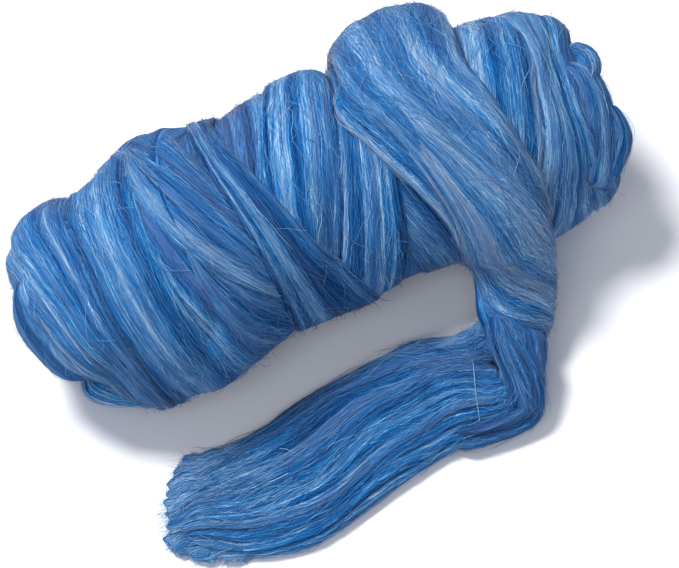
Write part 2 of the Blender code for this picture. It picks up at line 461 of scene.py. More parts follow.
def in_space(x, radius, angle, lift):
    """The point at lift above the bare body, and the outward normal there."""
    along, away = outward(x, radius)
    far = radius + away * lift
    points = np.stack(
        (
            x + along * lift,
            -through(x, "forward") - far * np.sin(angle),
            through(x, "height") + far * np.cos(angle),
        ),
        -1,
    )
    normals = np.stack((along, -away * np.sin(angle), away * np.cos(angle)), -1)
    return points, normals


# -------------------------------------------------- how high the wraps already laid stand at each place

HEIGHT_ROWS = 340
HEIGHT_COLUMNS = 360


class Laid:
    """The height of the wool laid so far, over the bare body, by place along it and angle round it."""

    def __init__(self):
        self.turn = np.linspace(0.0, math.pi, 3001)
        x, radius = outline_at(self.turn)
        length = np.concatenate(([0.0], np.cumsum(np.hypot(np.diff(x), np.diff(radius)))))
        self.length = length / length[-1]
        rows = np.linspace(0.0, 1.0, HEIGHT_ROWS)
        turn = np.interp(rows, self.length, self.turn)
        self.x = np.interp(turn, self.turn, x)[:, None]
        self.radius = np.interp(turn, self.turn, radius)[:, None]
        self.angle = np.linspace(-math.pi, math.pi, HEIGHT_COLUMNS, endpoint=False)[None, :]
        self.height = np.full((HEIGHT_ROWS, HEIGHT_COLUMNS), -CORE_DEPTH)

    def index(self, x, radius, angle):
        power = bluntness(x)
        near = (np.abs(x) / HALF_LENGTH) ** (power / 2)
        away = (radius / through(x, "radius")) ** (power / 2)
        turn = np.arctan2(away, -np.sign(x) * near)
        row = np.interp(turn, self.turn, self.length) * (HEIGHT_ROWS - 1)
        column = (angle / (2 * math.pi) + 0.5) % 1.0 * HEIGHT_COLUMNS
        return row, column

    def read(self, field, x, radius, angle):
        row, column = self.index(x, radius, angle)
        return between_cells(field, row, column, True)


def moved(field, rows, columns):
    """A field moved by one place, held at its ends and running on across its columns."""
    out = np.roll(field, columns, axis=1)
    if rows > 0:
        out = np.vstack((out[:1], out[:-1]))
    if rows < 0:
        out = np.vstack((out[1:], out[-1:]))
    return out


def draped(field):
    """The surface that new wool rests on: over the ridges, and smooth between them."""
    near = [(a, b) for a in (-1, 0, 1) for b in (-1, 0, 1)]
    for _ in range(2):
        field = np.maximum.reduce([moved(field, a, b) for a, b in near])
    for _ in range(3):
        field = sum(moved(field, a, b) for a, b in near) / 9.0
    return field


# ------------------------------------------------------------------------------------- mesh gathering

class Fleece:
    """Gathers ribbons and fibres for one piece, with their lay, dye and a flat layout for baking."""

    def __init__(self, name):
        self.name = name
        self.points = []
        self.quads = []
        self.lay = []
        self.chart = []
        self.dye = []
        self.count = 0
        self.strips = []

    def grid(self, points, lay, dye, wide, weight, close_along, close_across):
        """A grid of points, along by across. lay has the fibre coordinates of each place, one more
        than the points where the grid closes, and wide the place of each column across the chart."""
        rows, columns = points.shape[:2]
        r = np.arange(rows if close_along else rows - 1)[:, None]
        c = np.arange(columns if close_across else columns - 1)[None, :]
        corners = [(r, c), (r, c + 1), (r + 1, c + 1), (r + 1, c)]
        quads = [((a % rows) * columns + b % columns) + self.count for a, b in corners]
        self.quads.append(np.stack(np.broadcast_arrays(*quads), -1).reshape(-1, 4))
        a = np.stack([np.broadcast_to(p, quads[0].shape) for p, _ in corners], -1).reshape(-1, 4)
        b = np.stack([np.broadcast_to(q, quads[0].shape) for _, q in corners], -1).reshape(-1, 4)
        self.lay.append(lay[a, b])
        share = a / a.max()
        self.chart.append(np.stack((share, wide[b]), -1))
        self.strips.append((weight, len(a)))
        self.points.append(points.reshape(-1, 3))
        self.dye.append(dye.reshape(-1, 3))
        self.count += rows * columns

    def laid_out(self):
        """Each grid's chart in its own strip of the square."""
        total = sum(weight for weight, _ in self.strips)
        low = 0.0
        out = []
        for chart, (weight, _) in zip(self.chart, self.strips):
            height = weight / total
            edge = min(0.004, height * 0.08)
            u = 0.004 + chart[..., 0] * 0.992
            v = low + edge + chart[..., 1] * (height - 2 * edge)
            out.append(np.stack((u, v), -1))
            low += height
        return np.concatenate(out)

    def build(self, material):
        return make_mesh(
            self.name,
            np.concatenate(self.points),
            np.concatenate(self.quads),
            np.concatenate(self.lay),
            self.laid_out(),
            np.concatenate(self.dye),
            material,
        )


def make_mesh(name, points, quads, lay, chart, dye, material):
    mesh = bpy.data.meshes.new(name)
    mesh.vertices.add(len(points))
    mesh.vertices.foreach_set("co", (points * MM).astype(np.float32).ravel())
    mesh.loops.add(quads.size)
    mesh.loops.foreach_set("vertex_index", quads.astype(np.int32).ravel())
    mesh.polygons.add(len(quads))
    mesh.polygons.foreach_set("loop_start", np.arange(0, quads.size, 4, dtype=np.int32))
    mesh.polygons.foreach_set("use_smooth", np.full(len(quads), True))
    mesh.update(calc_edges=True)
    for label, values in (("Lay", lay), ("OFBake", chart)):
        layer = mesh.uv_layers.new(name=label)
        layer.uv.foreach_set("vector", values.astype(np.float32).ravel())
    attribute = mesh.attributes.new("dye", "FLOAT_VECTOR", "POINT")
    attribute.data.foreach_set("vector", dye.astype(np.float32).ravel())
    mesh.materials.append(material)
    item = bpy.data.objects.new(name, mesh)
    bpy.context.scene.collection.objects.link(item)
    return item


# ------------------------------------------------------------------------------------- dyes by place

Stripe = namedtuple("Stripe", "at width shade lavender")
# How strong the random streaks of shade are, and how wide.
SHADE_STREAKS = ((0.15, 7.0), (0.17, 2.6), (0.09, 1.1))
GREY_STREAK = (0.5, 5.0)
MOST_LAVENDER = 0.8


def random_streaks(random, places, width):
    """A smooth random value from -1 to 1 at each place across, changing over about `width`."""
    low = places.min()
    count = int((places.max() - low) / width) + 4
    values = random.uniform(-1.0, 1.0, count)
    at = (places - low) / width
    first = np.clip(at.astype(int), 0, count - 2)
    t = at - first
    t = t * t * (3 - 2 * t)
    return values[first] * (1 - t) + values[first + 1] * t


def streaked_dye(random, across, width_mm, shade, lavender, stripes, seed):
    """The dye at each share across a ribbon: its own blend, random streaks and named stripes."""
    places = across * width_mm
    value = shade
    for strength, wide in SHADE_STREAKS:
        value = value + strength * random_streaks(random, places, wide)
    strength, wide = GREY_STREAK
    grey = np.clip(lavender + strength * random_streaks(random, places, wide), 0.0, 1.0) * MOST_LAVENDER
    for stripe in stripes:
        near = np.exp(-(((across - stripe.at) / stripe.width) ** 2))
        value = value * (1 - near) + stripe.shade * near
        grey = grey * (1 - near) + stripe.lavender * near
    return np.stack(np.broadcast_arrays(value, grey, float(seed)), -1)


# ---------------------------------------------------------------------------------------- the wraps

Edge = namedtuple("Edge", "middle sway at")
Wrap = namedtuple("Wrap", "name piece left right thickness crisp shade lavender stripes", defaults=((),))
WRAPS = (
    Wrap("left end, across the back", "left", Edge(-115, 55, 70), Edge(-85, 40, 70), 2.8, 0.15, 0.40, 0.4),
    Wrap("left end, across the foot", "left", Edge(-115, 50, -40), Edge(-90, 40, -40), 2.8, 0.15, 0.42, 0.3),
    Wrap("left end, across the top", "left", Edge(-115, 50, -170), Edge(-90, 35, -170), 2.8, 0.15, 0.46, 0.3),
    Wrap("right end, across the back", "right", Edge(85, 40, -100), Edge(105, 50, -100),
         2.8, 0.15, 0.42, 0.4),
    Wrap("right end, across the foot", "right", Edge(85, 40, 135), Edge(110, 50, 135), 2.8, 0.15, 0.45, 0.4),
    Wrap("right end, across the top", "right", Edge(90, 35, 30), Edge(110, 45, 30), 2.8, 0.15, 0.45, 0.4),
    Wrap("under left", "left", Edge(-90, 15, -70), Edge(-45, 20, -70), 2.6, 0.15, 0.36, 0.5),
    Wrap("under notch", "middle", Edge(-45, 20, -60), Edge(0, 20, -65), 6.0, 0.5, 0.38, 0.8),
    Wrap("under right", "right", Edge(50, 15, 60), Edge(95, 10, 60), 2.4, 0.15, 0.42, 0.4),
    Wrap("left end face", "left", Edge(-120, 30, 140), Edge(-105, 25, 155), 2.8, 0.3, 0.44, 0.4),
    Wrap("left outer", "left", Edge(-105, 25, 155), Edge(-85, 15, 180), 3.4, 0.8, 0.42, 0.5,
         (Stripe(0.06, 0.03, 0.72, 0.4), Stripe(0.35, 0.10, 0.50, 0.6), Stripe(0.58, 0.05, 0.25, 0.0),
          Stripe(0.74, 0.03, 0.70, 0.3), Stripe(0.90, 0.05, 0.28, 0.2))),
    Wrap("left wedge", "left2", Edge(-70, 20, 165), Edge(-25, 20, 150), 2.4, 0.15, 0.42, 0.5,
         (Stripe(0.30, 0.04, 0.60, 0.2), Stripe(0.42, 0.04, 0.42, 0.9), Stripe(0.52, 0.05, 0.18, 0.0),
          Stripe(0.62, 0.03, 0.45, 0.8))),
    Wrap("left inner", "left2", Edge(-85, 15, 180), Edge(-50, 20, -170), 2.8, 0.15, 0.44, 0.3,
         (Stripe(0.06, 0.04, 0.22, 0.0), Stripe(0.20, 0.06, 0.58, 0.2), Stripe(0.42, 0.09, 0.68, 0.3),
          Stripe(0.56, 0.04, 0.52, 0.5), Stripe(0.78, 0.09, 0.18, 0.0))),
    Wrap("fan, foot", "left2", Edge(-30, 30, -155), Edge(-25, 40, 165), 2.8, 0.15, 0.40, 0.6,
         (Stripe(0.15, 0.08, 0.56, 0.6), Stripe(0.50, 0.08, 0.20, 0.0), Stripe(0.80, 0.06, 0.50, 0.7))),
    Wrap("fan, upper", "left2", Edge(-45, 25, 110), Edge(-25, 20, 125), 2.8, 0.15, 0.44, 0.3,
         (Stripe(0.15, 0.02, 0.68, 0.1), Stripe(0.55, 0.06, 0.28, 0.1), Stripe(0.80, 0.12, 0.54, 0.7))),
    Wrap("fan, lower", "left2", Edge(-25, 45, 165), Edge(-40, 25, 110), 2.8, 0.5, 0.46, 0.3,
         (Stripe(0.22, 0.14, 0.66, 0.5), Stripe(0.40, 0.04, 0.52, 0.8), Stripe(0.50, 0.03, 0.12, 0.0),
          Stripe(0.60, 0.05, 0.50, 0.7), Stripe(0.74, 0.03, 0.20, 0.0))),
    Wrap("beside the loose end", "middle", Edge(15, 20, 145), Edge(60, 20, 145), 2.4, 0.15, 0.40, 0.6,
         (Stripe(0.35, 0.04, 0.58, 0.5), Stripe(0.55, 0.08, 0.16, 0.0))),
    Wrap("middle left", "middle", Edge(-10, 20, -125), Edge(10, 15, -75), 2.8, 0.6, 0.46, 0.4,
         (Stripe(0.03, 0.03, 0.62, 0.6), Stripe(0.14, 0.05, 0.22, 0.0), Stripe(0.33, 0.07, 0.70, 0.4),
          Stripe(0.48, 0.04, 0.24, 0.0), Stripe(0.64, 0.05, 0.68, 0.2), Stripe(0.84, 0.06, 0.46, 0.7))),
    Wrap("middle right", "middle", Edge(10, 15, -75), Edge(30, 5, -60), 2.8, 0.5, 0.42, 0.2,
         (Stripe(0.20, 0.07, 0.22, 0.0), Stripe(0.38, 0.03, 0.66, 0.3), Stripe(0.60, 0.03, 0.84, 0.3),
          Stripe(0.69, 0.02, 0.34, 0.0), Stripe(0.76, 0.02, 0.78, 0.2), Stripe(0.92, 0.07, 0.14, 0.0))),
    Wrap("right inner", "right", Edge(60, 15, -110), Edge(98, 15, -90), 2.8, 0.15, 0.56, 0.4,
         (Stripe(0.12, 0.04, 0.44, 0.6), Stripe(0.38, 0.02, 0.64, 0.2), Stripe(0.55, 0.05, 0.24, 0.0),
          Stripe(0.74, 0.05, 0.60, 0.1), Stripe(0.86, 0.03, 0.26, 0.0))),
    Wrap("right outer", "right2", Edge(85, 15, -40), Edge(118, 10, -135), 2.8, 0.35, 0.56, 0.5,
         (Stripe(0.12, 0.06, 0.60, 0.2), Stripe(0.30, 0.05, 0.30, 0.6), Stripe(0.48, 0.05, 0.62, 0.4),
          Stripe(0.62, 0.05, 0.26, 0.0), Stripe(0.80, 0.05, 0.56, 0.7))),
    Wrap("right brim", "right2", Edge(112, 10, -135), Edge(124, 10, -150), 2.8, 0.15, 0.42, 0.4),
    Wrap("diagonal", "middle", Edge(-30, 10, 165), Edge(-5, 25, 150), 3.4, 1.0, 0.38, 0.2,
         (Stripe(0.03, 0.03, 0.10, 0.0), Stripe(0.12, 0.02, 0.72, 0.2), Stripe(0.20, 0.04, 0.22, 0.0),
          Stripe(0.38, 0.09, 0.66, 0.3), Stripe(0.72, 0.13, 0.18, 0.0), Stripe(0.98, 0.02, 0.60, 0.8))),
)
ALONG_COUNT = 126
TOP_COUNT = 50
UNDER_COUNT = 5
SUNK = 1.6
EDGE_DIP = 1.8
EDGE_WIDTH = 0.035
# Wool above the first height is pressed down: it never stands more than the second over that.
FREE_LIFT = 2.0
PRESSED_LIFT = 5.0
PRESS_SOFTNESS = 7.0
SECTION_RIDGES = ((4.0, 0.05), (9.0, 0.03), (21.0, 0.018))
LAID_SHARE = 0.9
CORE_ROWS = 90
CORE_LENGTH = 330.0
CORE_GIRTH = 300.0


def tilt(edge):
    at = math.radians(edge.at)
    return edge.sway * math.cos(at) / TYPICAL_RADIUS, edge.sway * math.sin(at) / TYPICAL_RADIUS


def plane_between(left, right, share):
    """The middle and tilt of the plane at a share of the way from one edge's plane to the other's."""
    up_left, front_left = tilt(left)
    up_right, front_right = tilt(right)
    middle = left.middle + (right.middle - left.middle) * share
    up = up_left + (up_right - up_left) * share
    front = front_left + (front_right - front_left) * share
    return middle, up, front


def ring_at(wrap, share, angle):
    """Where a wrap's plane meets the body: the places along it and the radii."""
    middle, up, front = plane_between(wrap.left, wrap.right, share)
    lean = up * np.cos(angle) + front * np.sin(angle)
    radius = reach_surface(middle, lean, angle)
    return middle + lean * radius, radius


def wrap_angles(wrap, count):
    """Angles round the roll that are evenly spaced along the wrap's middle, and the way round."""
    angle = np.linspace(-math.pi, math.pi, 721)
    x, radius = ring_at(wrap, 0.5, angle)
    length = run_length(np.stack((x, radius * np.sin(angle), radius * np.cos(angle)), -1))
    stops = np.linspace(0.0, length[-1], count + 1)
    return np.interp(stops, length, angle)[:-1], length[-1]


def settled(lift):
    """How high wool lies once the wraps over it have pressed it down."""
    pressed = FREE_LIFT + PRESSED_LIFT * (1.0 - np.exp(-(lift - FREE_LIFT) / PRESS_SOFTNESS))
    return np.where(lift < FREE_LIFT, lift, pressed)


def swell(place, crisp):
    """A wrap's thickness from -1 at one edge to 1 at the other, thin at soft edges, round at crisp ones."""
    soft = (1.0 - place**2) ** 1.1
    return soft + ((1.0 - np.abs(place) ** 3.0) ** 0.5 - soft) * crisp


def edge_dip(share):
    """How far a wrap's two edges tuck into the wool under them."""
    return EDGE_DIP * (np.exp(-((share / EDGE_WIDTH) ** 2)) + np.exp(-(((1 - share) / EDGE_WIDTH) ** 2)))


def wrap_section(share, thickness, crisp, phase, random):
    """How thick a wrap is at each share across it, with its soft ridges."""
    body = swell(2 * share - 1, crisp)
    ridges = np.zeros(share.shape)
    for waves, depth in SECTION_RIDGES:
        ridges = ridges + depth * np.cos(waves * math.pi * share + phase + random.uniform(0.0, 6.28))
    return thickness * body * (0.9 + ridges)


def ribbon_shares(tops, unders):
    """Shares across a ribbon, over its top and back under it, and which of them are on its top."""
    even = np.linspace(0.0, 1.0, tops)
    top = 0.5 * even + 0.5 * (0.5 - 0.5 * np.cos(math.pi * even))
    under = np.linspace(1.0, 0.0, unders + 2)[1:-1]
    share = np.concatenate((top, under))[None, :]
    return share, (np.arange(share.size) < tops)[None, :]


def add_ribbon(fleece, random, look, points, share, tops, length, seed, closed, paler=0.0):
    """Adds a ribbon's grid, with its fibres laid along it, and returns its dye."""
    top = share[0, :tops]
    under = share[0, tops:]
    width = np.linalg.norm(points[:, 0] - points[:, tops - 1], axis=1).max()
    across = np.concatenate((top, 2.0 - under, [2.0])) * width
    lay = np.stack(np.broadcast_arrays(across[None, :] * MM, length[:, None] * MM), -1)
    wide = np.concatenate((top * 0.9, 0.9 + 0.1 * (1 - under), [1.0]))
    dye = streaked_dye(random, share, width, look.shade, look.lavender, look.stripes, seed)
    dye = np.broadcast_to(dye, (*points.shape[:2], 3)).copy()
    dye[..., 0] += paler
    fleece.grid(points, lay, dye, wide, width, closed, True)
    return dye


def lay_wrap(wrap, laid, fleece, random, seed):
    """Lays one wrap round the roll, over what is already there."""
    angle, length = wrap_angles(wrap, ALONG_COUNT)
    angle = angle[:, None]
    share, is_top = ribbon_shares(TOP_COUNT, UNDER_COUNT)
    x, radius = ring_at(wrap, share, angle)
    base = laid.read(draped(laid.height), x, radius, angle + 0 * x)
    phase = 0.9 * np.sin(2 * angle + seed) + 0.5 * np.sin(5 * angle + 2 * seed)
    section = wrap_section(share, wrap.thickness, wrap.crisp, phase, random)
    lift = base + np.where(is_top, section, -SUNK * 4 * share * (1 - share)) - edge_dip(share)
    points = in_space(x, radius, angle + 0 * x, settled(lift))[0]
    keep_off_floor(points, FLOOR_GAP * seed)
    along = np.linspace(0.0, length, ALONG_COUNT + 1)
    dye = add_ribbon(fleece, random, wrap, points, share, TOP_COUNT, along, seed, True)
    raise_wrap(wrap, laid)
    return points, dye


def raise_wrap(wrap, laid):
    """Records how high a wrap stands between its two edges' planes."""
    tilt_left = plane_between(wrap.left, wrap.right, 0.0)
    tilt_right = plane_between(wrap.left, wrap.right, 1.0)
    past = []
    for middle, up, front in (tilt_left, tilt_right):
        lean = up * np.cos(laid.angle) + front * np.sin(laid.angle)
        past.append(laid.x - middle - lean * laid.radius)
    inside = (past[0] > 0) & (past[1] < 0)
    at = np.where(inside, past[0] / np.where(inside, past[0] - past[1], 1.0), 0.0)
    rise = wrap.thickness * LAID_SHARE * swell(2 * at - 1, wrap.crisp)
    laid.height = np.where(inside, np.maximum(laid.height, draped(laid.height) + rise), laid.height)


def core(laid, fleece, random):
    """The wool inside, seen only between the wraps."""
    rows = np.linspace(0.0004, 0.9996, CORE_ROWS)
    x, radius = outline_at(np.interp(rows, laid.length, laid.turn))
    angle = np.linspace(-math.pi, math.pi, CORE_ROWS + 1)[:-1, None]
    x, radius, angle = np.broadcast_arrays(x[None, :], radius[None, :], angle)
    points = in_space(x, radius, angle, -CORE_DEPTH)[0]
    keep_off_floor(points, FLOOR_GAP / 2)
    around = np.linspace(0.0, CORE_GIRTH, CORE_ROWS + 1)
    along = rows * CORE_LENGTH
    lay = np.stack(np.broadcast_arrays(along[None, :] * MM, around[:, None] * MM), -1)
    dye = streaked_dye(random, rows[None, :], CORE_LENGTH, 0.30, 0.4, (), 0.0)
    dye = np.broadcast_to(dye, (*points.shape[:2], 3)).copy()
    fleece.grid(points, lay, dye, rows, 60.0, True, False)


# ------------------------------------------------------------------------------------ the loose end

LooseOnRoll = namedtuple("LooseOnRoll", "angle left right thickness")
LOOSE_ON_ROLL = (
    LooseOnRoll(-151.2, 35, 62, 2),
    LooseOnRoll(-129.6, 33, 72, 8),
    LooseOnRoll(-108, 31, 78, 13),
    LooseOnRoll(-79.2, 30, 79, 15.5),
    LooseOnRoll(-50.4, 27, 77, 15),
    LooseOnRoll(-28.8, 22, 74, 13),
    LooseOnRoll(-7.2, 18, 71, 11),
    LooseOnRoll(14.4, 25, 74, 10),
    LooseOnRoll(36, 34, 77, 10.5),
    LooseOnRoll(57.6, 43, 81, 11),
    LooseOnRoll(79.2, 48, 82, 12),
)
LooseFree = namedtuple("LooseFree", "ax ay az bx by bz thickness")
LOOSE_FREE = (
    LooseFree(50, -50, 44, 82, -58, 44, 12),
    LooseFree(48, -60, 38, 80, -64, 34, 13),
    LooseFree(45, -70, 35, 77, -70, 25, 15),
    LooseFree(46, -80, 32, 73, -76, 14, 17.5),
    LooseFree(49, -90, 30, 66, -80, 7, 18.5),
    LooseFree(53, -98, 25, 58, -83, 4, 17),
    LooseFree(55, -102, 16, 52, -80, 3, 15.5),
    LooseFree(53, -106, 9, 48, -74, 4, 13.5),
    LooseFree(46, -108, 6, 44, -67, 5, 12),
    LooseFree(36, -108, 4, 36, -62, 5, 10.5),
    LooseFree(22, -107, 4, 22, -58, 5, 10),
    LooseFree(6, -110, 4, 6, -60, 5, 10),
    LooseFree(-12, -115, 4, -12, -62, 4, 9.5),
    LooseFree(-30, -120, 4, -30, -65, 4, 9),
    LooseFree(-46, -124, 3, -46, -70, 4, 8.5),
    LooseFree(-62, -122, 3, -60, -72, 3, 7.5),
    LooseFree(-78, -116, 2, -75, -74, 3, 6),
    LooseFree(-90, -108, 2, -87, -80, 2, 4),
    LooseFree(-98, -100, 1, -95, -90, 1, 2),
)
LAST_ON_ROLL = len(LOOSE_ON_ROLL) - 1
FIRST_FREE = len(LOOSE_ON_ROLL)
LAST_STATION = len(LOOSE_ON_ROLL) + len(LOOSE_FREE) - 1
LIFT_PER_ROW = 0.4
LOOSE_SPACING = 1.5
LOOSE_TOP = 46
LOOSE_UNDER = 40
CLUMP_DEPTH = 0.03
STRAND_GIRTH = 92.0
ROUTE_STEPS = 1200


def along_rows(rows, at):
    """Numbers at fractional rows of a table, on a Catmull-Rom curve through the rows."""
    rows = np.array(rows, float)
    ends = np.vstack((2 * rows[0] - rows[1], rows, 2 * rows[-1] - rows[-2]))
    at = np.asarray(at, float)
    index = np.clip(at.astype(int), 0, len(rows) - 2)
    t = (at - index)[..., None]
    before, here, there, after = (ends[index + n] for n in range(4))
    out = 2 * here + (there - before) * t + (2 * before - 5 * here + 4 * there - after) * t**2
    return 0.5 * (out + (3 * here - before - 3 * there + after) * t**3)


def along_whole(rows, count):
    """Evenly spaced rows on the whole of a table's curve."""
    return along_rows(rows, np.linspace(0.0, len(rows) - 1.0, count))


def profile(x):
    """The bare body's radius at x with the ends rounded off."""
    share = np.clip(np.abs(x) / HALF_LENGTH, 0.0, 1.0)
    power = bluntness(x)
    return through(x, "radius") * (1.0 - share**power) ** (1.0 / power)


def loose_lens(place, station):
    """How thick the loose end is at a place across it, from -1 to 1, as a share of its thickness."""
    ridges = CLUMP_DEPTH * np.cos(3.5 * math.pi * place + 1.4 * station)
    ridges = ridges + 0.02 * np.cos(9.0 * math.pi * place + 0.9 * np.sin(1.3 * station))
    return np.sqrt(np.maximum(1.0 - place**2, 0.0)) * (1.0 - CLUMP_DEPTH + ridges)


def loose_place(w):
    """The place from one edge, -1, to the other, 1, for a way round the section from 0 to 2."""
    w = w % 2.0
    return np.where(w <= 1.0, -np.cos(math.pi * w), np.cos(math.pi * (w - 1.0)))


class Skin:
    """A surface in rows of stations and columns of ways round it, and the height of wool laid on it."""

    def __init__(self, stations, w, period, points, normals, height):
        self.stations = stations
        self.w = w
        self.period = period
        self.points = points
        self.normals = normals
        self.height = height

    def cells(self, station, w):
        row = np.interp(station, self.stations, np.arange(len(self.stations)))
        stops = np.append(self.w, self.w[0] + self.period)
        column = np.interp(self.w[0] + (w - self.w[0]) % self.period, stops, np.arange(len(self.w) + 1))
        return row, column

    def read(self, field, station, w):
        """A field's value, or point, at each station and way round."""
        row, column = self.cells(station, w)
        return between_cells(field, row, column, True)

    def raise_to(self, station, w, lift):
        """Records how high a band stands at each place that it covers."""
        row, column = self.cells(station, w)
        for fine_row in (0.0, 0.34, 0.67):
            for fine_column in (0.0, 0.34, 0.67):
                r = row[:-1, :-1] + (row[1:, :-1] - row[:-1, :-1]) * fine_row
                c = column[:-1, :-1] + (column[:-1, 1:] - column[:-1, :-1]) * fine_column
                near = np.abs(column[:-1, 1:] - column[:-1, :-1]) < 30
                r = np.clip(r[near].astype(int), 0, len(self.stations) - 1)
                c = c[near].astype(int) % len(self.w)
                np.maximum.at(self.height, (r, c), lift[:-1, :-1][near])


class LooseEnd(Skin):
    """The loose end's skin, by station along it and way round its section, and the wool laid on it."""

    def __init__(self, laid):
        self.field = draped(laid.height)
        self.laid = laid
        coarse = np.linspace(0.0, LAST_STATION, ROUTE_STEPS)
        length = run_length(np.array([self.section(s, np.array([0.5]))[0] for s in coarse]))
        count = int(length[-1] / LOOSE_SPACING)
        self.length = np.linspace(0.0, length[-1], count)
        self.stations = np.interp(self.length, length, coarse)
        top = np.linspace(0.0, 1.0, LOOSE_TOP)
        under = np.linspace(1.0, 2.0, LOOSE_UNDER + 2)[1:-1]
        self.w = np.concatenate((top, under))
        points = np.array([self.section(s, self.w) for s in self.stations])
        keep_off_floor(points, FLOOR_GAP)
        normals = unit(evened(grid_normals(evened(points, 10, True)), 10, True))
        super().__init__(self.stations, self.w, 2.0, points, normals, np.zeros(points.shape[:2]))

    def section(self, station, w):
        """The points round the section at a station."""
        if station <= LAST_ON_ROLL:
            return self.on_roll(station, w)
        if station >= FIRST_FREE:
            return self.free(station, w)
        t = station - LAST_ON_ROLL
        start = self.on_roll(LAST_ON_ROLL, w)
        end = self.free(FIRST_FREE, w)
        leave = start - self.on_roll(LAST_ON_ROLL - 0.5, w)
        arrive = self.free(FIRST_FREE + 0.5, w) - end
        low = (2 * t**3 - 3 * t**2 + 1) * start + (t**3 - 2 * t**2 + t) * leave
        return low + (3 * t**2 - 2 * t**3) * end + (t**3 - t**2) * arrive

    def on_roll(self, station, w):
        angle, left, right, thickness = along_rows(LOOSE_ON_ROLL, station)
        place = loose_place(w)
        x = (left + right) / 2 + place * (right - left) / 2
        radius = profile(x)
        angle = np.full(x.shape, math.radians(angle))
        base = settled(np.maximum(self.laid.read(self.field, x, radius, angle), 0.0))
        rise = np.where(w % 2.0 <= 1.0, thickness * loose_lens(place, station) + 0.8, 0.3)
        return in_space(x, radius, angle, base + rise)[0]

    def free(self, station, w):
        row = station - FIRST_FREE
        here = along_rows(LOOSE_FREE, row)
        ahead = along_rows(LOOSE_FREE, min(row + 0.05, len(LOOSE_FREE) - 1.0))
        step = ahead - along_rows(LOOSE_FREE, max(row - 0.05, 0.0))
        middle = (here[0:3] + here[3:6]) / 2
        half = (here[3:6] - here[0:3]) / 2
        face = np.cross(step[0:3] + step[3:6], half)
        face = face / np.linalg.norm(face)
        above = max(0.5, 1.0 - LIFT_PER_ROW * row) * here[6]
        place = loose_place(w)
        over = above * loose_lens(place, station)
        rise = np.where(w % 2.0 <= 1.0, over, (above - here[6]) * loose_lens(place, 0.0))
        return middle + place[:, None] * half + rise[:, None] * face


def evened(field, times, closed):
    """A field smoothed along its rows and columns."""
    for _ in range(times):
        inner = (field[:-2] + 2 * field[1:-1] + field[2:]) / 4
        field = np.concatenate((field[:1], inner, field[-1:]))
        if closed:
            field = (np.roll(field, 1, axis=1) + 2 * field + np.roll(field, -1, axis=1)) / 4
    return field


def grid_normals(points):
    """Unit normals of a grid closed across its columns."""
    along = np.gradient(points, axis=0)
    across = np.roll(points, -1, axis=1) - np.roll(points, 1, axis=1)
    return unit(np.cross(along, across))


def main_strand(loose, fleece, random):
    """The loose end's own body of combed wool."""
    rows = len(loose.stations)
    w = np.append(loose.w, 2.0)
    around = w * STRAND_GIRTH / 2
    lay = np.stack(np.broadcast_arrays(around[None, :] * MM, loose.length[:, None] * MM), -1)
    dye = streaked_dye(random, loose.w[None, :] / 2, STRAND_GIRTH, 0.46, 0.35, (), 31.0)
    dye = np.broadcast_to(dye, (rows, len(loose.w), 3)).copy()
    fleece.grid(loose.points, lay, dye, w / 2.0, 80.0, False, True)


